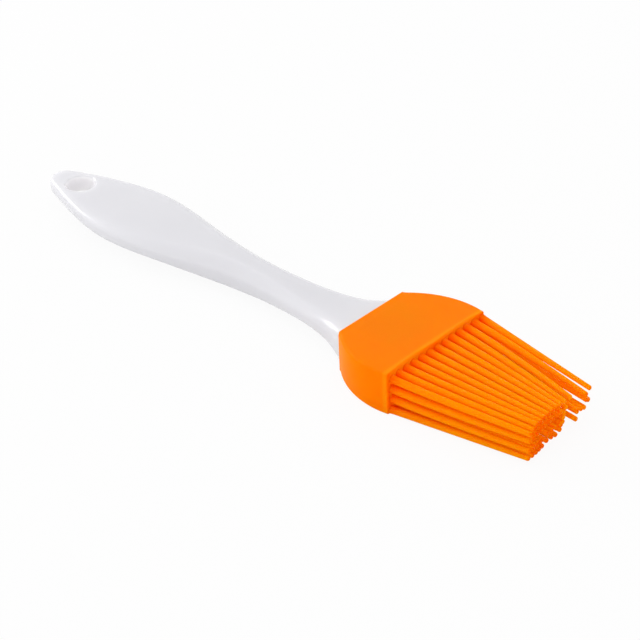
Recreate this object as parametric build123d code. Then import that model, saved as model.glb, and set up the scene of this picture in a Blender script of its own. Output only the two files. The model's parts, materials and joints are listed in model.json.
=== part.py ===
from build123d import *
import math
import os

# Pastry brush: a flat plastic handle and the silicone head that pushes onto its tongue.
# Millimetres, +Z up, +X from the hanging end towards the bristles.  The origin is under the
# middle of the whole brush, on the surface that the head rests on.

os.makedirs("parts", exist_ok=True)

# ---- Silicone head: sleeve -------------------------------------------------------------
sleeve_length = 22.0
sleeve_height = 12.4
sleeve_rear_width = 24.4
sleeve_mouth_width = 37.2
sleeve_side_radius = 24.8
sleeve_edge_radius = 1.0
sleeve_rear_chamfer = 0.25
mouth_rim_chamfer = 0.3

# ---- Silicone head: bristles -----------------------------------------------------------
bristle_columns = 13
bristle_rows = ("bottom", "lower", "upper", "top")
bristle_length = 40.0
bristle_root_diameter = 2.0
bristle_tip_diameter = 1.2
bristle_sides = 16
column_pitch_root = 2.86
column_pitch_tip = 1.9
row_pitch_root = 2.85
row_pitch_tip = 2.35
bristle_drop = 0.5

# ---- Handle: plan ----------------------------------------------------------------------
handle_length = 121.3
end_radius = 4.6
flank_angle = 20.5
grip_width = 24.2
grip_from_end = 33.0
palm_width = 14.6
palm_from_shoulder = 56.0
neck_width = 10.5
neck_from_shoulder = 36.0
throat_width = 13.7
throat_from_shoulder = 15.0
shoulder_width = 23.6
shoulder_flare_angle = 30.0

# ---- Handle: thickness, and how far its faces fall from the middle to the rim -----------
end_thickness = 5.2
grip_thickness = 5.5
palm_thickness = 7.8
neck_thickness = 7.2
throat_thickness = 5.9
shoulder_thickness = 10.0
end_crown = 0.15
grip_crown = 0.7
palm_crown = 2.2
neck_crown = 1.6
throat_crown = 0.6
shoulder_crown = 0.3
section_overhang = 1.5
handle_edge_chamfer = 0.8

# ---- Handle: hanging hole --------------------------------------------------------------
hole_diameter = 8.0
hole_from_end = 10.6
hole_rim_chamfer = 0.5

# ---- Tongue in its pocket --------------------------------------------------------------
tongue_length = 16.5
tongue_width = 18.4
tongue_height = 6.8
tongue_corner_radius = 2.4
tongue_lead_chamfer = 0.8
rib_count = 3
rib_pitch = 5.0
rib_width = 1.4
rib_height = 0.5
pocket_clearance = 0.2
pocket_end_clearance = 0.8
shoulder_gap = 0.2

# ---- Places worked out from the sizes --------------------------------------------------
brush_length = handle_length + shoulder_gap + sleeve_length + bristle_length
end_x = -brush_length / 2
shoulder_x = end_x + handle_length
sleeve_x = shoulder_x + shoulder_gap
mouth_x = sleeve_x + sleeve_length
middle_z = sleeve_height / 2
bristles_z = middle_z - bristle_drop
hole_x = end_x + hole_from_end
grip_x = end_x + grip_from_end
palm_x = shoulder_x - palm_from_shoulder
neck_x = shoulder_x - neck_from_shoulder
throat_x = shoulder_x - throat_from_shoulder


def plane_across(x, y=0.0, z=middle_z):
    """The plane square to the brush at x, with its own x axis along the brush's +Y."""
    return Plane(origin=(x, y, z), x_dir=(0, 1, 0), z_dir=(1, 0, 0))


def grip_plan():
    """The handle seen from above: round end, leaf-shaped grip, neck and flared shoulder."""
    turn = math.radians(flank_angle)
    flare = math.radians(shoulder_flare_angle)
    end_centre = end_x + end_radius
    start = (end_centre - end_radius * math.sin(turn), end_radius * math.cos(turn))
    flank = Spline(
        start,
        (grip_x, grip_width / 2),
        (palm_x, palm_width / 2),
        (neck_x, neck_width / 2),
        (throat_x, throat_width / 2),
        (shoulder_x, shoulder_width / 2),
        tangents=[(math.cos(turn), math.sin(turn)), (math.cos(flare), math.sin(flare))],
    )
    other_flank = mirror(flank, Plane.XZ)
    round_end = ThreePointArc(other_flank @ 0, (end_x, 0), flank @ 0)
    shoulder = Line(flank @ 1, other_flank @ 1)
    return make_face([round_end, flank, shoulder, other_flank])


def crowned_section(x, width, thickness, crown):
    """A section with arched top and bottom, a little wider than the handle is there."""
    reach = width / 2 + section_overhang
    edge = thickness / 2 - crown
    top = ThreePointArc((-reach, edge), (0, thickness / 2), (reach, edge))
    bottom = ThreePointArc((reach, -edge), (0, -thickness / 2), (-reach, -edge))
    right = Line(top @ 1, bottom @ 0)
    left = Line(bottom @ 1, top @ 0)
    return plane_across(x) * make_face([top, right, bottom, left])


def grip():
    """The side view of the handle trimmed to its plan, with both long rims bevelled."""
    stations = [
        (end_x - section_overhang, grip_width, end_thickness, end_crown),
        ((end_x + grip_x) / 2, grip_width, end_thickness, end_crown),
        (grip_x, grip_width, grip_thickness, grip_crown),
        (palm_x, palm_width, palm_thickness, palm_crown),
        (neck_x, neck_width, neck_thickness, neck_crown),
        (throat_x, throat_width, throat_thickness, throat_crown),
        (shoulder_x, shoulder_width, shoulder_thickness, shoulder_crown),
    ]
    side_view = loft([crowned_section(*station) for station in stations])
    body = side_view & extrude(grip_plan(), sleeve_height)
    outline = body.edges().filter_by(Axis.Z, reverse=True)
    rims = outline.filter_by(lambda edge: edge.center().X < throat_x)
    return chamfer(rims, handle_edge_chamfer)


def hanging_hole(body):
    """The round hole near the end, with its two rims softened."""
    drill = Pos(hole_x, 0, middle_z) * Cylinder(hole_diameter / 2, sleeve_height)
    bored = body - drill
    walls = bored.faces().filter_by(GeomType.CYLINDER)
    wall = walls.sort_by(lambda face: abs(face.radius - hole_diameter / 2))[0]
    rims = wall.edges().filter_by(Axis.Z, reverse=True)
    return chamfer(rims, hole_rim_chamfer)


def tongue():
    """The flat tongue that the head pushes onto, with lengthwise grip ribs on both faces."""
    root = RectangleRounded(tongue_width, tongue_height, tongue_corner_radius)
    bar = extrude(plane_across(shoulder_x) * root, tongue_length)
    tip = bar.faces().sort_by(Axis.X)[-1]
    bar = chamfer(tip.edges(), tongue_lead_chamfer)
    rib_length = tongue_length - tongue_lead_chamfer
    rib_x = shoulder_x + rib_length / 2
    rib_stack = tongue_height + 2 * rib_height
    for index in range(rib_count):
        rib_y = (index - (rib_count - 1) / 2) * rib_pitch
        bar += Pos(rib_x, rib_y, middle_z) * Box(rib_length, rib_width, rib_stack)
    return bar


def handle():
    """One moulding: grip, hanging hole and the tongue hidden in the head."""
    return hanging_hole(grip()) + tongue()


def sleeve_plan():
    """The sleeve seen from above: straight back, bulging sides and straight mouth."""
    rear = sleeve_rear_width / 2
    mouth = sleeve_mouth_width / 2
    corners = [(sleeve_x, rear), (mouth_x, mouth), (mouth_x, -mouth), (sleeve_x, -rear)]
    sides = [
        RadiusArc(corners[0], corners[1], sleeve_side_radius),
        Line(corners[1], corners[2]),
        RadiusArc(corners[2], corners[3], sleeve_side_radius),
        Line(corners[3], corners[0]),
    ]
    return make_face(sides)


def head_sleeve():
    """The silicone sleeve: a blind pocket behind, a solid wall for the bristles in front."""
    body = extrude(sleeve_plan(), sleeve_height)
    arcs = body.edges().filter_by(GeomType.CIRCLE)
    body = fillet(arcs, sleeve_edge_radius)
    rim = body.faces().sort_by(Axis.X)[-1].edges()
    body = chamfer(rim, mouth_rim_chamfer)
    back = body.faces().sort_by(Axis.X)[0].edges()
    body = chamfer(back, sleeve_rear_chamfer)
    pocket = RectangleRounded(
        tongue_width + 2 * pocket_clearance,
        tongue_height + 2 * rib_height + 2 * pocket_clearance,
        tongue_corner_radius + pocket_clearance,
    )
    pocket_depth = tongue_length - shoulder_gap + pocket_end_clearance
    return body - extrude(plane_across(sleeve_x) * pocket, pocket_depth)


def bristle(root_y, root_z, tip_y, tip_z):
    """One tapered bristle with both ends square to the brush, so it seats on the mouth."""
    root = RegularPolygon(bristle_root_diameter / 2, bristle_sides)
    tip = RegularPolygon(bristle_tip_diameter / 2, bristle_sides)
    root_plane = plane_across(mouth_x, root_y, root_z)
    tip_plane = plane_across(mouth_x + bristle_length, tip_y, tip_z)
    return loft([root_plane * root, tip_plane * tip])


def bristle_row(row):
    """Thirteen bristles side by side; rows and columns draw together towards the tips."""
    up = row - (len(bristle_rows) - 1) / 2
    bristles = []
    for column in range(bristle_columns):
        out = column - (bristle_columns - 1) / 2
        bristles.append(
            bristle(
                out * column_pitch_root,
                bristles_z + up * row_pitch_root,
                out * column_pitch_tip,
                bristles_z + up * row_pitch_tip,
            )
        )
    return Compound(children=bristles)


parts = {"handle": handle(), "head_sleeve": head_sleeve()}
for row, name in enumerate(bristle_rows):
    parts["bristle_row_" + name] = bristle_row(row)

for name, part in parts.items():
    export_step(part, f"parts/{name}.step")
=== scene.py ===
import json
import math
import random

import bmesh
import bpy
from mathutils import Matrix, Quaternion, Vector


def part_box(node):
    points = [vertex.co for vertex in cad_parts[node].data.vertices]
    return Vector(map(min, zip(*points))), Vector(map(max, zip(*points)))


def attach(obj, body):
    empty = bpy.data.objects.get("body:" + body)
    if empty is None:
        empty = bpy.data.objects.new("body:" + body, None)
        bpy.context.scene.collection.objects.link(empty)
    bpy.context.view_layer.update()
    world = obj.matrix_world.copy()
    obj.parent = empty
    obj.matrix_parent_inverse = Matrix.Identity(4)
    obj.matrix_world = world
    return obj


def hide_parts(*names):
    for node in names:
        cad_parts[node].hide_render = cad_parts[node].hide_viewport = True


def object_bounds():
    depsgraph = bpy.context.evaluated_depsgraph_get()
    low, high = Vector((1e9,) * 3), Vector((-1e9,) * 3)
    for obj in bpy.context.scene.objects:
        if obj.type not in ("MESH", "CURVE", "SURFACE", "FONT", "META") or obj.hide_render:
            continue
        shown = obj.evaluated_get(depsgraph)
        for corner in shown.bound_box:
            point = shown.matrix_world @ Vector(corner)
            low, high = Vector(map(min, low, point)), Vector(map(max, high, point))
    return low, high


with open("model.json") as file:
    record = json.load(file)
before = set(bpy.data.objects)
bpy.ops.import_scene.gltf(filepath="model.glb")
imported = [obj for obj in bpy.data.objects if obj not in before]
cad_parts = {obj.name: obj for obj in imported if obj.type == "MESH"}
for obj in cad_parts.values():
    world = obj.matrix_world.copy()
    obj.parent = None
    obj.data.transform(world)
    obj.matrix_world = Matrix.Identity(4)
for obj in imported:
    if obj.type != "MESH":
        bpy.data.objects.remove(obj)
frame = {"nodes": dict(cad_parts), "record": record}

# %% [markdown]
# # A pastry brush, dressed for the camera
#
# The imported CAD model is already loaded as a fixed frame: a flat plastic handle whose tongue
# is pushed into a silicone head, and four rows of silicone bristles.  CAD says where
# everything is and how big it is.  Here each moulding gets the soft rims, the domed bristle
# tips and the finish that the real brush has, and the bristles get the lean that use gives
# them.

mm = 0.001
cad_low, cad_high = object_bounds()
hole = frame["record"]["mounts"][0]
hole_place = Vector(hole["pos_m"])
hole_radius = hole["dims"]["r_mm"] * mm
print("CAD box in mm:", [round(side / mm, 1) for side in cad_high - cad_low])
print("hanging hole of", round(hole_radius / mm, 2), "mm radius at x", round(hole_place.x / mm, 2))

# %% [markdown]
# ## The camera
#
# The brush lies flat and is seen from its bristle end, from about a third of the way up.
# A long lens keeps the far end of the handle nearly as large as the near bristles.  The
# camera is set by where it stands (azimuth, elevation, distance), by the point it looks at
# and by a small roll, because those are the things that get changed on a tripod.

# %% Camera
camera_azimuth = math.radians(44.385)
camera_elevation = math.radians(33.625)
camera_roll = math.radians(-2.327)
camera_distance = 645 * mm
camera_target = Vector((14.82, -3.59, 5.0)) * mm
lens_length = 139.69
sensor_width = 36
nearest_seen = 10 * mm

towards_camera = Vector((
    math.sin(camera_azimuth) * math.cos(camera_elevation),
    -math.cos(camera_azimuth) * math.cos(camera_elevation),
    math.sin(camera_elevation),
))
camera = bpy.data.objects.new("camera", bpy.data.cameras.new("camera"))
bpy.context.scene.collection.objects.link(camera)
camera.data.lens = lens_length
camera.data.sensor_width = sensor_width
camera.data.clip_start = nearest_seen
camera.location = camera_target + towards_camera * camera_distance
camera.rotation_mode = "QUATERNION"
level = (-towards_camera).to_track_quat("-Z", "Y")
camera.rotation_quaternion = level @ Quaternion((0, 0, 1), camera_roll)
bpy.context.scene.camera = camera
bpy.context.scene.view_settings.view_transform = "Standard"
print("camera stands at", [round(place / mm) for place in camera.location], "mm")

# %% [markdown]
# ## Shader maths as plain expressions
#
# A material is a small sum.  Wired by hand in Python it turns into a page of links, so one
# class wraps a socket: adding or multiplying two of them adds the Math node, and `node`
# makes any other node from its settings and the values of its sockets.

# %% One wrapped socket
class Socket:
    """An output of a node, which sums can be written on; without a link, a place to start."""

    def __init__(self, tree, link=None):
        self.tree = tree
        self.link = link

    def node(self, kind, inputs, output=0, stops=(), **settings):
        """Makes a node: its settings first, then its sockets, each a value or a Socket."""
        made = self.tree.nodes.new(kind)
        for name, setting in settings.items():
            setattr(made, name, setting)
        for index, (place, colour) in enumerate(stops):
            ramp = made.color_ramp.elements
            stop = ramp[index] if index < len(ramp) else ramp.new(place)
            stop.position = place
            stop.color = colour
        for name, value in inputs.items():
            if isinstance(value, Socket):
                self.tree.links.new(value.link, made.inputs[name])
            else:
                made.inputs[name].default_value = value
        return Socket(self.tree, made.outputs[output] if made.outputs else None)

    def math(self, operation, first, second):
        """Makes a Math node from two numbers or Sockets."""
        return self.node("ShaderNodeMath", {0: first, 1: second}, operation=operation)

    def __add__(self, other):
        return self.math("ADD", self, other)

    def __sub__(self, other):
        return self.math("SUBTRACT", self, other)

    def __rsub__(self, other):
        return self.math("SUBTRACT", other, self)

    def __mul__(self, other):
        return self.math("MULTIPLY", self, other)

    __radd__ = __add__
    __rmul__ = __mul__


def new_material(name):
    """An empty material and a Socket to start its nodes from."""
    material = bpy.data.materials.new(name)
    material.use_nodes = True
    material.node_tree.nodes.clear()
    return material, Socket(material.node_tree)


# %% [markdown]
# ## A white studio
#
# The brush lies on a pale sweep under soft light.  The white behind it isn't made with more
# light, which would wash out the plastic: the world and the floor simply show white to the
# camera and to reflections, and the floor mixes that white with its own lit surface, so the
# shadow stays.

# %% World
white = (1.0, 1.0, 1.0, 1.0)
ambient_strength = 0.86


def for_rays(start, *kinds):
    """A share that is 1 for rays of these kinds, by output name, and 0 for all others."""
    shares = [start.node("ShaderNodeLightPath", {}, output=kind) for kind in kinds]
    return start.math("MINIMUM", sum(shares[1:], shares[0]), 1.0)


world = bpy.data.worlds.new("studio")
bpy.context.scene.world = world
world.use_nodes = True
world.node_tree.nodes.clear()
start = Socket(world.node_tree)
shows_white = for_rays(start, "Is Camera Ray", "Is Glossy Ray", "Is Transmission Ray")
studio_light = start.node(
    "ShaderNodeBackground",
    {"Color": white, "Strength": shows_white * (1 - ambient_strength) + ambient_strength},
)
start.node("ShaderNodeOutputWorld", {"Surface": studio_light})
print("world lights at", ambient_strength, "and shows white")

# %% Floor
floor_size = 4.0
floor_colour = (0.83, 0.83, 0.83, 1.0)
floor_veil = 0.93

bpy.ops.object.select_all(action="DESELECT")
bpy.ops.mesh.primitive_plane_add(size=floor_size, location=(0, 0, cad_low.z))
floor = bpy.context.object
floor.name = "floor"
floor_material, start = new_material("pale_sweep")
matt = start.node("ShaderNodeBsdfDiffuse", {"Color": floor_colour})
glow = start.node("ShaderNodeEmission", {"Color": white, "Strength": 1.0})
veil = for_rays(start, "Is Camera Ray", "Is Glossy Ray") * floor_veil
surface = start.node("ShaderNodeMixShader", {0: veil, 1: matt, 2: glow})
start.node("ShaderNodeOutputMaterial", {"Surface": surface})
floor.data.materials.append(floor_material)
print("floor", floor_size, "m wide, veiled in white by", floor_veil)

# %% Lamps
brush_middle = (cad_low + cad_high) / 2


def soft_box(name, place, size, power):
    """A square area lamp that faces the brush; place and size in metres, power in watts."""
    lamp = bpy.data.objects.new(name, bpy.data.lights.new(name, "AREA"))
    bpy.context.scene.collection.objects.link(lamp)
    lamp.data.shape = "SQUARE"
    lamp.data.size = size
    lamp.data.energy = power
    lamp.location = place
    lamp.rotation_mode = "QUATERNION"
    lamp.rotation_quaternion = (brush_middle - Vector(place)).to_track_quat("-Z", "Y")
    print(name, power, "W")


soft_box("overhead_box", place=(-0.1, 0.1, 0.9), size=0.9, power=0.6)
soft_box("end_box", place=(-0.75, -0.12, 0.28), size=0.3, power=1.7)
soft_box("front_box", place=(0.35, -0.8, 0.3), size=0.7, power=0.9)

# %% [markdown]
# ## Two finishes
#
# The handle is a glossy white plastic with a hint of lavender.  No moulding is perfectly
# even, so a slow noise drifts its tone and gloss a little and a fine one gives the surface
# the faint ripple that breaks up reflections.  Light passes through the thin wall round the
# hanging hole and brightens its inside.  More lamps would brighten everything, so the inside
# of the hole is painted lighter instead, with a faint glow of its own: painted light.
#
# The silicone is a satin orange that light enters a short way before it comes back, which
# is why its gaps glow red and never go black; a faint painted glow adds to that light.  One
# material could cover the whole head, but a bristle is thin enough for light to come
# through from behind, so it gets a lighter one that glows more towards the tip, painted
# light that stands for that light.  Ramps along the brush paint the rest of the light and
# shade: the rim round the mouth is lighter, a painted highlight; the wall that the bristles
# grow from, and the bristles' roots, are redder, a painted shade; and the bristles' ends are
# darker, a painted shade.

# %% What both finishes need
black = (0.0, 0.0, 0.0, 1.0)


def noise(start, scale, detail=2.0):
    """A noise that stays with the piece; the scale says how many times it turns in a metre."""
    place = start.node("ShaderNodeTexCoord", {}, output="Object")
    return start.node("ShaderNodeTexNoise", {"Vector": place, "Scale": scale, "Detail": detail})


def blend(start, share, first, second):
    """Mixes two colours by a share between 0 and 1."""
    return start.node(
        "ShaderNodeMix", {0: share, 6: first, 7: second}, output=2, data_type="RGBA"
    )


# %% Glossy handle plastic
plastic_light = (0.74, 0.735, 0.765, 1.0)
plastic_dark = (0.71, 0.705, 0.735, 1.0)
# Painted light: a faint glow that lightens the inside of the hanging hole.
plastic_hole_painted_light = (0.14, 0.13, 0.12, 1.0)

# Shares of the square of this distance from the middle of the hole, so that the painted glow
# fades out between 4.1 and 4.4 mm from it.
painted_light_distance = 6 * mm
hole_painted_light_stops = [(0.47, plastic_hole_painted_light), (0.53, black)]

handle_plastic, start = new_material("handle_plastic")
drift = noise(start, 38.0)
ripple = noise(start, 900.0, 3.0)
grain = start.node(
    "ShaderNodeBump", {"Height": ripple, "Strength": 0.05, "Distance": 0.05 * mm}
)
place = start.node("ShaderNodeTexCoord", {}, output="Object")
apart = start.node("ShaderNodeVectorMath", {0: place, 1: hole_place}, operation="SUBTRACT")
along_x = start.node("ShaderNodeSeparateXYZ", {0: apart}, output="X")
across_y = start.node("ShaderNodeSeparateXYZ", {0: apart}, output="Y")
from_hole = (along_x * along_x + across_y * across_y) * (1 / painted_light_distance**2)
# Painted light: the glow is full inside the hole and fades out at its rim.
hole_painted_light = start.node("ShaderNodeValToRGB", {0: from_hole}, stops=hole_painted_light_stops)
gloss = start.node(
    "ShaderNodeBsdfPrincipled",
    {
        "Base Color": blend(start, drift, plastic_dark, plastic_light),
        "Roughness": drift * 0.08 + 0.2,
        "Normal": grain,
        "IOR": 1.48,
        "Subsurface Weight": 0.8,
        "Subsurface Radius": (1.0, 1.0, 1.0),
        "Subsurface Scale": 5.0 * mm,
        "Emission Color": hole_painted_light,
        "Emission Strength": 1.0,
    },
)
start.node("ShaderNodeOutputMaterial", {"Surface": gloss})
print(handle_plastic.name, "has", len(handle_plastic.node_tree.nodes), "nodes")

# %% Silicone colours and the line of the mouth
mouth_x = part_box("head_sleeve")[1].x
mouth_half_width = 18.6 * mm
mouth_bow = 0.35 * mm
silicone_light = (1.0, 0.215, 0.001, 1.0)
silicone_deep = (1.0, 0.19, 0.0005, 1.0)
# Painted highlight: the lighter rim round the mouth.
silicone_rim_painted_highlight = (1.0, 0.27, 0.003, 1.0)
# Painted shade: the redder wall that the bristles grow from, and their roots.
silicone_wall_painted_shade = (1.0, 0.15, 0.0, 1.0)
# Painted shade: the darker ends of the bristles.
silicone_end_painted_shade = (0.82, 0.13, 0.0, 1.0)
# Painted light: the bristles' tones are lighter than the sleeve's, for the light that comes
# through them.
thin_light = (1.0, 0.255, 0.001, 1.0)
thin_deep = (1.0, 0.22, 0.0005, 1.0)
# Painted light: glow colours, red at the roots and orange towards the tips.
root_glow = (1.0, 0.09, 0.0, 1.0)
tip_glow = (1.0, 0.42, 0.0, 1.0)
print("the mouth is at x", round(mouth_x / mm, 2), "mm and bowed by", mouth_bow / mm, "mm")


# %% Satin silicone
silicone_drift = 55.0
silicone_grain = 2600.0


def along_brush(start, first, second, stops, bow=0.0):
    """A ramp along the brush, from first to second millimetres past the line of the mouth."""
    place = start.node("ShaderNodeTexCoord", {}, output="Object")
    x = start.node("ShaderNodeSeparateXYZ", {0: place}, output="X")
    y = start.node("ShaderNodeSeparateXYZ", {0: place}, output="Y")
    past = x + bow - y * y * (bow / mouth_half_width**2)
    share = (past - (mouth_x + first * mm)) * (1 / ((second - first) * mm))
    return start.node("ShaderNodeValToRGB", {0: share}, stops=stops)


def silicone_surface(start, tone, glow):
    """Satin silicone; the glow is painted light, standing for the light that comes through it."""
    matt = noise(start, silicone_grain)
    grain = start.node(
        "ShaderNodeBump", {"Height": matt, "Strength": 0.06, "Distance": 0.04 * mm}
    )
    satin = start.node(
        "ShaderNodeBsdfPrincipled",
        {
            "Base Color": tone,
            "Roughness": noise(start, silicone_drift) * 0.1 + 0.38,
            "Normal": grain,
            "IOR": 1.41,
            "Specular IOR Level": 0.035,
            "Subsurface Weight": 1.0,
            "Subsurface Radius": (1.0, 0.3, 0.05),
            "Subsurface Scale": 4.0 * mm,
            "Emission Color": glow,
            "Emission Strength": 0.1,
        },
    )
    start.node("ShaderNodeOutputMaterial", {"Surface": satin})


# %% Silicone of the sleeve
rim_reach = 1.7
# Painted highlight on the rounding of the mouth's rim.
rim_highlight_stops = [(0.0, black), (0.35, white), (0.72, white), (0.9, black)]
# Painted shade: the wall's redder tone begins just behind the line of the mouth.
wall_shade_stops = [(0.0, black), (0.9, black), (0.985, white)]

silicone, start = new_material("silicone")
tone = blend(start, noise(start, silicone_drift), silicone_deep, silicone_light)
# Painted highlight: the rim round the mouth is made lighter.
rim_highlight_share = along_brush(start, -rim_reach, 0.0, rim_highlight_stops, mouth_bow)
tone = blend(start, rim_highlight_share, tone, silicone_rim_painted_highlight)
# Painted shade: the wall that the bristles grow from is made redder.
wall_shade_share = along_brush(start, -rim_reach, 0.0, wall_shade_stops, mouth_bow)
tone = blend(start, wall_shade_share, tone, silicone_wall_painted_shade)
# Painted light: the sleeve glows faintly red too.
silicone_surface(start, tone, root_glow)
print(silicone.name, "changes over the last", rim_reach, "mm of the sleeve")

# %% Thin silicone of the bristles
root_reach = 3.5
# Painted shade: the roots take the wall's redder tone, fading out along the bristle.
root_shade_stops = [(0.0, white), (0.2, white), (1.0, black)]
end_begins, end_is_at = 38.8, 40.0
# Painted shade: the ends of the bristles are darker.
end_shade_stops = [(0.3, black), (0.75, white)]
glow_begins, glow_is_full = 2.0, 20.0
glow_stops = [(0.0, root_glow), (1.0, tip_glow)]

thin_silicone, start = new_material("thin_silicone")
tone = blend(start, noise(start, silicone_drift), thin_deep, thin_light)
# Painted shade at the roots of the bristles.
root_shade_share = along_brush(start, 0.0, root_reach, root_shade_stops, mouth_bow)
tone = blend(start, root_shade_share, tone, silicone_wall_painted_shade)
# Painted shade at the ends of the bristles, which also glow less there.
end_shade_share = along_brush(start, end_begins, end_is_at, end_shade_stops)
tone = blend(start, end_shade_share, tone, silicone_end_painted_shade)
# Painted light: the glow grows from root to tip.
glow = along_brush(start, glow_begins, glow_is_full, glow_stops)
glow = blend(start, end_shade_share, glow, root_glow)
silicone_surface(start, tone, glow)
print(thin_silicone.name, "glows fully from", glow_is_full, "mm past the mouth")

# %% [markdown]
# ## Working by hand, in code
#
# Modelling happens in edit mode with the same operators as at the desk.  A few helpers do
# the clicking: one adds a primitive with everything else deselected, one selects what
# passes a test, one cuts a piece across wherever its shape has to change, and one finishes
# it.  The last helper slices a copy of a CAD solid, so that sizes are measured, not copied.

# %% Edit-mode helpers
closeness = 0.004 * mm


def add(primitive, name, **sizes):
    """Adds a primitive with nothing else selected, applies its place and enters edit mode."""
    if bpy.context.object and bpy.context.object.mode == "EDIT":
        bpy.ops.object.mode_set(mode="OBJECT")
    bpy.ops.object.select_all(action="DESELECT")
    primitive(**sizes)
    piece = bpy.context.object
    piece.name = name
    bpy.ops.object.transform_apply(location=True, rotation=True, scale=True)
    bpy.ops.object.mode_set(mode="EDIT")
    return piece


def pick(piece, kind, test):
    """Selects only the verts, edges or faces that pass the test; gives how many."""
    bpy.ops.mesh.select_mode(type=kind[:-1].upper())
    bpy.ops.mesh.select_all(action="DESELECT")
    mesh = bmesh.from_edit_mesh(piece.data)
    chosen = [part for part in getattr(mesh, kind) if test(part)]
    for part in chosen:
        part.select_set(True)
    mesh.select_flush_mode()
    bmesh.update_edit_mesh(piece.data)
    return len(chosen)


def cut(place, normal):
    """Cuts the whole piece by a plane."""
    bpy.ops.mesh.select_all(action="SELECT")
    bpy.ops.mesh.bisect(plane_co=place, plane_no=normal)


def near(first, second):
    """True for two places that only rounding keeps apart."""
    return abs(first - second) < closeness


def lengthwise(edge):
    """True for an edge that runs along the brush."""
    return abs(edge.verts[0].co.x - edge.verts[1].co.x) > mm


# %% Finishing a piece
smooth_angle = math.radians(40)


def face_outwards():
    """Turns all faces of the piece in edit mode outwards."""
    bpy.ops.mesh.select_all(action="SELECT")
    bpy.ops.mesh.normals_make_consistent(inside=False)


def finish_mesh(piece, material, body, slot, *nodes):
    """Leaves edit mode, turns faces outwards, smooths, gives material and body, hides the CAD
    nodes.
    """
    face_outwards()
    bpy.ops.object.mode_set(mode="OBJECT")
    piece.data.materials.clear()
    piece.data.materials.append(material)
    bpy.ops.object.shade_smooth_by_angle(angle=smooth_angle)
    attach(piece, body)
    if nodes:
        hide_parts(*nodes)
    piece.data.calc_loop_triangles()
    print(piece.name, len(piece.data.loop_triangles), "triangles")


# %% Measuring a CAD node
def section_at(node, x):
    """Slices a copy of a CAD node at x; gives the points of the slice."""
    copy = bmesh.new()
    copy.from_mesh(frame["nodes"][node].data)
    everything = copy.verts[:] + copy.edges[:] + copy.faces[:]
    sliced = bmesh.ops.bisect_plane(
        copy, geom=everything, plane_co=(x, 0, 0), plane_no=(1, 0, 0)
    )["geom_cut"]
    points = [part.co.copy() for part in sliced if isinstance(part, bmesh.types.BMVert)]
    copy.free()
    return points


sleeve_low, sleeve_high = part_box("head_sleeve")
handle_low, handle_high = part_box("handle")
middle_z = (sleeve_low.z + sleeve_high.z) / 2
shoulder_gap = 0.2 * mm
end_x = handle_low.x
shoulder_x = sleeve_low.x - shoulder_gap
shoulder_distance = shoulder_x - end_x
print("handle from", round(end_x / mm, 2), "to", round(shoulder_x / mm, 2), "mm")

# %% [markdown]
# ## The handle
#
# The handle is one flat moulding: a round end with a hanging hole, a leaf-shaped grip, a
# waist and a flare where it meets the head.  Its faces are nearly flat at both ends and
# softly crowned in between, and its top rims go from crisp to round and back, while the
# bottom ones stay crisp.
#
# It could be lofted, or carved from a block with bevels of changing width.  A subdivision
# cage suits it best: one bevelled bar, cut into rings, where each ring gets the width and
# height of the CAD solid at that place and its own rim softness, and subdivision flows
# through them.  Subdivision also shrinks a shape a little, so the cage stands slightly
# above or below the solid.  Short tables say how soft and how high, along the handle.

# %% Handle sizes
bar_half_width = 10 * mm
bar_half_height = 3 * mm
bar_bevel = 1 * mm
face_column = 6.6 * mm
end_radius = 4.6 * mm
end_cage_radius = 4.75 * mm
end_rim = 0.8 * mm
end_turns = (12.5, 25, 50, 75)
first_ring = end_radius + 1.4 * mm
ring_pitch = 4.6 * mm
last_rings = (0.6 * mm, 0.02 * mm)

# Each table lists pairs: millimetres from the hanging end, then millimetres.
top_softness = [
    (0, 1.0), (12, 0.9), (24, 1.1), (40, 1.9), (60, 2.5),
    (80, 2.5), (92, 2.2), (104, 1.6), (122, 2.0),
]
bottom_softness = [(0, 0.8), (122, 0.8)]
top_lift = [
    (0, -0.8), (4, -0.7), (8, -0.5), (16, -0.45), (22, -0.4), (36, 0.3), (46, 0.4),
    (56, 0.2), (66, 0.35), (78, 0.1), (92, 0.0), (100, -0.2), (110, 0.0), (122, 0.0),
]
bottom_drop = [
    (0, -0.2), (20, -0.3), (28, 0.1), (41, 0.3), (52, 0.45), (64, 0.65),
    (80, 0.45), (92, 0.2), (104, 0.0), (115, 0.3), (122, 0.0),
]
print("the handle is", round(shoulder_distance / mm, 1), "mm long up to its shoulder")


# %% Reading the tables and the solid
rim_band = 1.0 * mm


def read_table(table, distance):
    """Reads a table at a distance from the hanging end; gives metres."""
    for (first, low), (second, high) in zip(table, table[1:]):
        if distance <= second * mm:
            share = (distance / mm - first) / (second - first)
            return (low + (high - low) * max(share, 0)) * mm
    return table[-1][1] * mm


def handle_ring(distance):
    """Half width, half height, and height at the rim, of the solid at that distance."""
    points = section_at("handle", end_x + distance)
    half_width = max(point.y for point in points)
    half_height = max(point.z for point in points) - middle_z
    beside_rim = [point.z for point in points if point.y > half_width - rim_band]
    return half_width, half_height, max(beside_rim) - middle_z


neck_ring = handle_ring(85 * mm)
print("half width and half height at the neck:", [round(size / mm, 2) for size in neck_ring[:2]])

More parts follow.
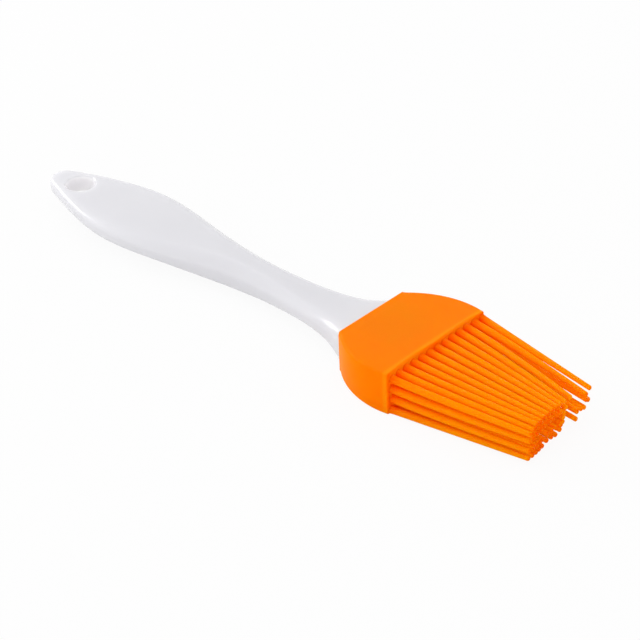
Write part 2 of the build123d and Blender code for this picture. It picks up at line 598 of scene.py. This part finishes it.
# %% Rings of the handle
rings = []
for turn in end_turns:
    angle = math.radians(turn)
    distance = end_radius - end_cage_radius * math.cos(angle)
    half_width = end_cage_radius * math.sin(angle)
    _, half_height, _ = handle_ring(end_radius)
    drop = max(end_rim - max(distance, 0), 0)
    half_height += math.sqrt(end_rim**2 - drop**2) - end_rim
    rings.append((distance, half_width, half_height, half_height))
for index in range(round((shoulder_distance - end_radius) / ring_pitch)):
    distance = first_ring + index * ring_pitch
    rings.append((distance, *handle_ring(distance)))
for back in last_rings:
    distance = shoulder_distance - back
    rings.append((distance, *handle_ring(distance)))
rings.sort()
widest = max(half_width for _, half_width, _, _ in rings)
print(len(rings), "rings, widest half width", round(widest / mm, 2), "mm")

# %% Cage of the handle
handle = add(
    bpy.ops.mesh.primitive_cube_add,
    "handle_grip",
    size=1,
    location=((end_x + shoulder_x) / 2, 0, middle_z),
    scale=(shoulder_distance, 2 * bar_half_width, 2 * bar_half_height),
)
pick(handle, "edges", lengthwise)
bpy.ops.mesh.bevel(offset=bar_bevel, segments=1, affect="EDGES")
cut((0, 0, middle_z), (0, 0, 1))
for column in (-face_column, 0, face_column):
    cut((0, column, 0), (0, 1, 0))
for distance, *_ in rings[1:-1]:
    cut((end_x + distance, 0, 0), (1, 0, 0))
mesh = bmesh.from_edit_mesh(handle.data)
mesh.verts.index_update()
print(len(mesh.verts), "vertices before shaping")

# %% Naming the places of the cage
columns = {
    "ridge": 0,
    "face": face_column,
    "rim": bar_half_width - bar_bevel,
    "side": bar_half_width,
}
stations = {}
for vertex in mesh.verts:
    distance = min(rings, key=lambda ring: abs(ring[0] - (vertex.co.x - end_x)))[0]
    column = min(columns, key=lambda name: abs(columns[name] - abs(vertex.co.y)))
    if near(vertex.co.z, middle_z):
        level = "middle"
    else:
        level = "top" if vertex.co.z > middle_z else "bottom"
    stations.setdefault((distance, column, level), set()).add(vertex.index)
print(len(stations), "groups of vertices that move together")

# %% Shaping each ring
most_soft_up = 0.6  # share of the half height that a soft rim may take
most_soft_across = 0.5  # share of the half width that it may take
face_share = 0.62  # place of the face column, as a share of the half width
face_within_rim = 0.66  # and as a share of the rim's place, where that is nearer
side_softness = 0.8  # how far the side stays below the rim, as a share of its softness


def ring_places(distance, half_width, half_height, rim_height, softness, extra):
    """How much wider and taller each column of a ring gets, above or below the middle."""
    high = half_height + read_table(extra, distance)
    fall = half_height - rim_height
    soft = min(read_table(softness, distance), most_soft_up * high)
    rim_y = half_width - min(soft, most_soft_across * half_width)
    face_y = min(face_share * half_width, face_within_rim * rim_y)
    face_height = high - fall * (face_y / half_width) ** 2
    shown_rim_height = high - fall * rim_y / half_width
    side_height = high - fall - side_softness * soft
    return {
        "ridge": (1, high / bar_half_height),
        "face": (face_y / face_column, face_height / bar_half_height),
        "rim": (rim_y / columns["rim"], shown_rim_height / bar_half_height),
        "side": (half_width / bar_half_width, side_height / (bar_half_height - bar_bevel)),
    }


for ring in rings:
    distance = ring[0]
    centre = (end_x + distance, 0, middle_z)
    above = ring_places(*ring, top_softness, top_lift)
    below = ring_places(*ring, bottom_softness, bottom_drop)
    for level, places in {"top": above, "bottom": below, "middle": below}.items():
        for column, (wider, taller) in places.items():
            group = stations.get((distance, column, level))
            if group:
                pick(handle, "verts", lambda vertex: vertex.index in group)
                bpy.ops.transform.resize(value=(1, wider, taller), center_override=centre)
print("rings shaped")

# %% Flat shoulder face, then subdivision
def on_the_shoulder(face):
    """True for the faces of the cage that meet the head."""
    return face.normal.x > 0.9 and face.calc_center_median().x > shoulder_x - 0.1 * mm


pick(handle, "faces", on_the_shoulder)
bpy.ops.mesh.region_to_loop()
bpy.ops.transform.edge_crease(value=1)
bpy.ops.object.mode_set(mode="OBJECT")
smooth = handle.modifiers.new("smooth", "SUBSURF")
smooth.levels = 3
smooth.render_levels = 3
bpy.ops.object.modifier_apply(modifier=smooth.name)
print(len(handle.data.vertices), "vertices after subdivision")

# %% [markdown]
# ## The hanging hole
#
# A moulded hole has no sharp rim: the pin that forms it leaves a soft lip on top, and
# narrows a little downwards so that the moulding comes off it.  A plain bore with a bevel
# would give the lip one round shape all the way.  So the pin itself is modelled, as a spool
# that flares at the top and narrows below, and a Boolean takes it out of the handle.

# %% Spool
hole_draft = 0.86
spool_sides = 64

# Pairs: millimetres below the top of the handle, and millimetres wider than the hole.
lip_profile = [
    (1.2, 0.0), (0.9, 0.04), (0.6, 0.12), (0.35, 0.28), (0.15, 0.45), (0.0, 0.62), (-0.6, 1.4),
]
hole_distance = hole_place.x - end_x
spool_top = handle_ring(hole_distance)[1] + read_table(top_lift, hole_distance)
spool = add(
    bpy.ops.mesh.primitive_cylinder_add,
    "hole_spool",
    vertices=spool_sides,
    radius=hole_radius,
    depth=2 * (spool_top - lip_profile[-1][0] * mm),
    location=hole_place,
)
for depth, _ in lip_profile[:-1]:
    cut((0, 0, middle_z + spool_top - depth * mm), (0, 0, 1))
for depth, flare in lip_profile:
    height = middle_z + spool_top - depth * mm
    wider = 1 + flare * mm / hole_radius
    pick(spool, "verts", lambda vertex: near(vertex.co.z, height))
    bpy.ops.transform.resize(value=(wider, wider, 1), center_override=hole_place)
pick(spool, "verts", lambda vertex: vertex.co.z < middle_z)
bpy.ops.transform.resize(value=(hole_draft, hole_draft, 1), center_override=hole_place)
face_outwards()
bpy.ops.object.mode_set(mode="OBJECT")
print("the hole narrows to", round(2 * hole_radius * hole_draft / mm, 2), "mm")

# %% Taking the spool out of the handle
bpy.ops.object.select_all(action="DESELECT")
handle.select_set(True)
bpy.context.view_layer.objects.active = handle
drill = handle.modifiers.new("hole", "BOOLEAN")
drill.operation = "DIFFERENCE"
drill.solver = "EXACT"
drill.object = spool
bpy.ops.object.modifier_apply(modifier=drill.name)
bpy.data.objects.remove(spool)
bpy.ops.object.mode_set(mode="EDIT")
finish_mesh(handle, handle_plastic, "handle", "handle_plastic", "handle")

# %% [markdown]
# ## The tongue
#
# The head hides a flat tongue that holds it by friction, with three low ribs on each face.
# It only shows when the head is pulled off for washing.  A bar with bevelled edges and
# ribs raised from its own faces is enough, and it stays inside the pocket with clearance.

# %% Tongue sizes
measured_at = sleeve_low.x + 8 * mm
beyond_ribs = 6.5 * mm
tongue_points = section_at("handle", measured_at)
tongue_half_width = max(point.y for point in tongue_points)
tongue_half_height = max(p.z for p in tongue_points if p.y > beyond_ribs) - middle_z
rib_height = max(point.z for point in tongue_points) - middle_z - tongue_half_height
rib_half_width = 0.7 * mm
rib_pitch = 5.0 * mm
rib_places = (-rib_pitch, 0, rib_pitch)
rib_end = handle_high.x - 1.2 * mm
tongue_round = 2.2 * mm
tongue_lead = 0.8 * mm
print("tongue", round(2 * tongue_half_width / mm, 1), "mm wide, ribs", round(rib_height / mm, 2))


# %% Tongue
def on_a_rib(face):
    """True for the strips of the top and bottom faces that become ribs."""
    middle = face.calc_center_median()
    beside = min(abs(middle.y - rib_y) for rib_y in rib_places)
    return abs(face.normal.z) > 0.99 and beside < 0.1 * mm and middle.x < rib_end - 0.1 * mm


def round_the_front(edge):
    """True for the edges round the front face of the tongue."""
    in_front = all(end.co.x > handle_high.x - 0.01 * mm for end in edge.verts)
    inner = all(face.normal.x >= 0.5 for face in edge.link_faces)
    return in_front and len(edge.link_faces) == 2 and not inner


tongue = add(
    bpy.ops.mesh.primitive_cube_add,
    "handle_tongue",
    size=1,
    location=((shoulder_x + handle_high.x) / 2, 0, middle_z),
    scale=(handle_high.x - shoulder_x, 2 * tongue_half_width, 2 * tongue_half_height),
)
pick(tongue, "edges", lengthwise)
bpy.ops.mesh.bevel(offset=tongue_round, segments=6, affect="EDGES")
for rib_y in rib_places:
    for side in (-1, 1):
        cut((0, rib_y + side * rib_half_width, 0), (0, 1, 0))
cut((rib_end, 0, 0), (1, 0, 0))
pick(tongue, "faces", on_a_rib)
bpy.ops.mesh.extrude_region_shrink_fatten(TRANSFORM_OT_shrink_fatten={"value": rib_height})
pick(tongue, "edges", round_the_front)
bpy.ops.mesh.bevel(offset=tongue_lead, segments=4, affect="EDGES")
finish_mesh(tongue, handle_plastic, "handle", "handle_plastic")

# %% [markdown]
# ## The head's sleeve
#
# The sleeve is a thick block of silicone that widens from the handle to the bristles in a
# soft bulge.  Its long rims are generously rounded, most of all next to the handle, and the
# rims round the mouth and the back only a little.  The mouth isn't quite straight: it is a
# little hollow in the middle.
#
# A block cut into narrow slices takes its bulge from the CAD solid, slice by slice.  One
# Bevel modifier then rounds everything, because each edge can carry its own weight: a
# heavy edge gets the whole width and a light one a fraction.  The hollow comes last, by
# cutting a few columns into the lip and moving each of them back.

# %% Slices of the sleeve
slice_pitch = 1.0 * mm
sleeve_length = sleeve_high.x - sleeve_low.x
sleeve_height = sleeve_high.z - sleeve_low.z
block_half_width = 10 * mm
clear_of_the_rims = 0.4 * mm


def sleeve_half_width(x):
    """Half width of the solid at x, measured clear of its softened rims."""
    first, last = sleeve_low.x + clear_of_the_rims, sleeve_high.x - clear_of_the_rims
    return max(point.y for point in section_at("head_sleeve", min(max(x, first), last)))


sleeve = add(
    bpy.ops.mesh.primitive_cube_add,
    "head_sleeve_skin",
    size=1,
    location=((sleeve_low.x + sleeve_high.x) / 2, 0, middle_z),
    scale=(sleeve_length, 2 * block_half_width, sleeve_height),
)
slice_count = round(sleeve_length / slice_pitch)
for index in range(1, slice_count):
    cut((sleeve_low.x + index * slice_pitch, 0, 0), (1, 0, 0))
for index in range(slice_count + 1):
    x = sleeve_low.x + index * slice_pitch
    wider = sleeve_half_width(x) / block_half_width
    pick(sleeve, "verts", lambda vertex: near(vertex.co.x, x))
    bpy.ops.transform.resize(value=(1, wider, 1), center_override=(x, 0, middle_z))
print(slice_count, "slices; mouth half width", round(sleeve_half_width(sleeve_high.x) / mm, 2))

# %% Pocket for the tongue
pocket_clearance = 0.2 * mm
pocket_end_clearance = 0.8 * mm
pocket_depth = handle_high.x - sleeve_low.x + pocket_end_clearance
pocket_half_width = tongue_half_width + pocket_clearance
pocket_half_height = tongue_half_height + rib_height + pocket_clearance
wall = sleeve_height / 2 - pocket_half_height

pick(sleeve, "faces", lambda face: face.normal.x < -0.9)
bpy.ops.mesh.inset(thickness=wall)
narrower = pocket_half_width / (sleeve_half_width(sleeve_low.x) - wall)
bpy.ops.transform.resize(value=(1, narrower, 1), center_override=(sleeve_low.x, 0, middle_z))
bpy.ops.mesh.extrude_region_move(TRANSFORM_OT_translate={"value": (pocket_depth, 0, 0)})
face_outwards()
print("pocket", round(pocket_depth / mm, 1), "mm deep in walls of", round(wall / mm, 2), "mm")

# %% Weights for the rounding
mouth_weights = {"upright": 0.4, "level": 0.35}
back_weights = {"upright": 0.3, "level": 0.15}
pocket_rim_weight = 0.25
long_rim_loss = 0.45


def rim_weight(edge):
    """How much of the full rounding an edge of the sleeve gets."""
    ends = [vertex.co for vertex in edge.verts]
    in_one_slice = abs(ends[0].x - ends[1].x) < 0.01 * mm
    at_mouth = in_one_slice and near(ends[0].x, sleeve_high.x)
    at_back = in_one_slice and near(ends[0].x, sleeve_low.x)
    if in_one_slice and not (at_mouth or at_back):
        return 0.0
    if all(abs(end.z - middle_z) < pocket_half_height + 0.01 * mm for end in ends):
        if at_back:
            return pocket_rim_weight
        return 1.0 if lengthwise(edge) else 0.0
    direction = "upright" if near(ends[0].y, ends[1].y) else "level"
    if at_mouth:
        return mouth_weights[direction]
    if at_back:
        return back_weights[direction]
    on_skin = all(near(abs(end.z - middle_z), sleeve_height / 2) for end in ends)
    if not (on_skin and ends[0].y * ends[1].y > 0):
        return 0.0
    forward = (ends[0].x + ends[1].x - 2 * sleeve_low.x) / (2 * sleeve_length)
    return 1.0 - long_rim_loss * forward


mesh = bmesh.from_edit_mesh(sleeve.data)
weights = mesh.edges.layers.float.new("bevel_weight_edge")
for edge in mesh.edges:
    edge[weights] = rim_weight(edge)
print(sum(edge[weights] > 0 for edge in mesh.edges), "edges carry weight")
bmesh.update_edit_mesh(sleeve.data)

# %% Rounding by weight
rim_width = 1.25 * mm

bpy.ops.object.mode_set(mode="OBJECT")
rims = sleeve.modifiers.new("rims", "BEVEL")
rims.limit_method = "WEIGHT"
rims.width = rim_width
rims.segments = 6
rims.use_clamp_overlap = False
bpy.ops.object.modifier_apply(modifier=rims.name)
bpy.ops.object.mode_set(mode="EDIT")
print("rims rounded by up to", rim_width / mm, "mm")

# %% Hollow line of the mouth
lip_depth = 1.05 * mm
hollow_columns = (0, 3.5, -3.5, 7, -7, 10.5, -10.5, 14, -14)


def on_the_lip(vertex, y):
    """True for the vertices of the mouth's rim in the column at y."""
    return near(vertex.co.y, y) and vertex.co.x > mouth_x - lip_depth


for column in hollow_columns:
    y = column * mm
    cut((0, y, 0), (0, 1, 0))
    pick(sleeve, "verts", lambda vertex: on_the_lip(vertex, y))
    back = mouth_bow * (1 - (y / mouth_half_width) ** 2)
    bpy.ops.transform.translate(value=(-back, 0, 0))
finish_mesh(sleeve, silicone, "head", "silicone", "head_sleeve")

# %% [markdown]
# ## The bristles
#
# Every bristle is the same moulding: a tapered rod with a softly domed tip, which grows out
# of the mouth on a slightly flared foot.  So one is modelled and copied, and each copy is
# leaned from its place on the mouth to the place where its tip has come to rest.
#
# Used silicone never stays in a perfect grid.  The near bristles have drawn together, the
# middle of the top row arches up, and the far columns have fanned out, so that white shows
# between their tips.  A simulation could drop them into place, but nobody could then say
# where a bristle ends up.  A table of resting places can be read and changed by hand.

# %% Shape of one bristle
root_radius = 1.0 * mm
tip_radius = 0.64 * mm
bristle_length = 40 * mm
bristle_foot = 1.0 * mm
bristle_sides = 16
shaft_rings = 8
dome_height = 0.4 * mm
dome_turn = math.radians(75)
dome_rings = 4

# Pairs: millimetres past the mouth, and how many times thicker than the plain taper.
foot_flare = [(-1.0, 1.08), (0.0, 1.08), (0.5, 1.03), (1.2, 1.0)]


def shaft_radius(distance):
    """Radius of the tapered shaft at a distance from the mouth."""
    return root_radius + (tip_radius - root_radius) * max(distance, 0) / bristle_length


profile = [(past * mm, shaft_radius(past * mm) * flare) for past, flare in foot_flare]
dome_start = bristle_length - dome_height
for ring in range(1, shaft_rings + 1):
    distance = dome_start * ring / shaft_rings
    profile.append((distance, shaft_radius(distance)))
for ring in range(1, dome_rings + 1):
    turn = dome_turn * ring / dome_rings
    height = dome_height * math.sin(turn) / math.sin(dome_turn)
    profile.append((dome_start + height, shaft_radius(dome_start) * math.cos(turn)))
print(len(profile), "rings from foot to tip")

# %% One bristle
bristle = add(
    bpy.ops.mesh.primitive_cylinder_add,
    "bristle",
    vertices=bristle_sides,
    radius=root_radius,
    depth=bristle_length + bristle_foot,
    location=(mouth_x + (bristle_length - bristle_foot) / 2, 0, 0),
    rotation=(0, math.radians(90), 0),
)
for distance, _ in profile[1:-1]:
    cut((mouth_x + distance, 0, 0), (1, 0, 0))
for distance, radius in profile:
    x = mouth_x + distance
    share = radius / root_radius
    pick(bristle, "verts", lambda vertex: near(vertex.co.x, x))
    bpy.ops.transform.resize(value=(1, share, share), center_override=(x, 0, 0))
face_outwards()
bpy.ops.object.mode_set(mode="OBJECT")
print("one bristle:", len(bristle.data.vertices), "vertices")

# %% Where the bristles leave the mouth
column_count = 13
column_pitch = 2.87 * mm
columns_shift = 0.45 * mm
row_names = ("bottom", "lower", "upper", "top")
row_pitch = 2.85 * mm
rows_z = middle_z - 0.3 * mm
row_tilt = 0.015  # every row rises a little towards the far side
row_shift = {"bottom": (-0.45, -0.28), "top": (0.1, 0.12)}  # across and up, in millimetres


def root_place(row, column):
    """Where a bristle leaves the mouth: y and z, in metres."""
    across, rise = row_shift.get(row_names[row], (0, 0))
    y = (column - (column_count - 1) / 2) * column_pitch + columns_shift
    up = row - (len(row_names) - 1) / 2
    return Vector((0, y + across * mm, rows_z + up * row_pitch + y * row_tilt + rise * mm))


print("first root at", [round(place / mm, 2) for place in root_place(0, 0)], "mm")

# %% Where the tips rest
# For each row, the columns whose resting place is known: y and z of the tip in millimetres.
resting_tips = {
    "bottom": {
        0: (-11.6, 1.9), 4: (-6.8, 3.0), 5: (-5.0, 3.7), 7: (-1.4, 3.3), 8: (0.3, 3.6),
        9: (1.8, 5.1), 10: (6.0, 4.0), 11: (6.9, 3.1), 12: (8.1, 4.6),
    },
    "lower": {
        0: (-11.4, 3.9), 4: (-6.5, 4.9), 5: (-5.0, 5.5), 7: (-1.3, 5.2), 8: (0.6, 4.9),
        9: (2.0, 6.4), 10: (6.9, 6.0), 11: (8.6, 5.4), 12: (10.1, 4.9),
    },
    "upper": {
        0: (-11.2, 6.6), 4: (-6.2, 8.7), 8: (0.5, 8.9), 9: (2.2, 7.5),
        10: (3.1, 8.4), 11: (10.3, 7.3), 12: (11.5, 6.5),
    },
    "top": {
        0: (-10.9, 8.7), 2: (-8.6, 10.4), 4: (-6.1, 11.0), 6: (-2.9, 11.3), 8: (0.4, 11.2),
        9: (2.1, 10.9), 10: (4.4, 11.0), 11: (10.4, 8.9), 12: (11.9, 9.9),
    },
}
tip_wobble = 0.12


def tip_place(row_name, column):
    """Where a tip rests; columns between two known ones are shared out evenly."""
    known = resting_tips[row_name]
    before = max(place for place in known if place <= column)
    after = min(place for place in known if place >= column)
    share = (column - before) / max(after - before, 1)
    (y, z), (next_y, next_z) = known[before], known[after]
    return Vector((0, y + (next_y - y) * share, z + (next_z - z) * share)) * mm


print("a tip in the middle rests at", [round(p / mm, 1) for p in tip_place("top", 7)], "mm")

# %% How the bristles bend
# A bend of 1 is a straight lean from the root.  Above 1 a bristle bends late, near its tip,
# and below 1 early, near its root.
usual_bend = 1.25
own_bends = {
    ("bottom", 0): 1.0, ("top", 12): 1.0, ("upper", 12): 1.1,
    ("lower", 12): 0.5, ("bottom", 11): 0.6, ("bottom", 12): 0.6,
}


def lean(mesh, root, tip, bend):
    """Bends a bristle from its root to its tip without making it longer."""
    aside = tip - root
    reach = math.sqrt(bristle_length**2 - aside.length_squared)
    for vertex in mesh.vertices:
        along = max((vertex.co.x - mouth_x) / bristle_length, 0)
        share = along**bend
        vertex.co.x += (reach - bristle_length) * along
        vertex.co.y += root.y + aside.y * share
        vertex.co.z += root.z + aside.z * share


print(len(own_bends), "bristles bend in a way of their own")

# %% Copies, leaned and joined row by row
chance = random.Random(7)


def wobble():
    """A small random step across the brush, so that no two tips are quite in line."""
    across, up = (chance.uniform(-tip_wobble, tip_wobble) for _ in range(2))
    return Vector((0, across, up)) * mm


for row, row_name in enumerate(row_names):
    bpy.ops.object.select_all(action="DESELECT")
    for column in range(column_count):
        copy = bristle.copy()
        copy.data = bristle.data.copy()
        bpy.context.scene.collection.objects.link(copy)
        copy.select_set(True)
        bend = own_bends.get((row_name, column), usual_bend)
        tip = tip_place(row_name, column) + wobble()
        lean(copy.data, root_place(row, column), tip, bend)
        if column == 0:
            bpy.context.view_layer.objects.active = copy
    bpy.ops.object.join()
    bristles = bpy.context.object
    bristles.name = "bristles_" + row_name
    bpy.ops.object.mode_set(mode="EDIT")
    finish_mesh(bristles, thin_silicone, "head", "silicone", "bristle_row_" + row_name)
bpy.data.objects.remove(bristle)
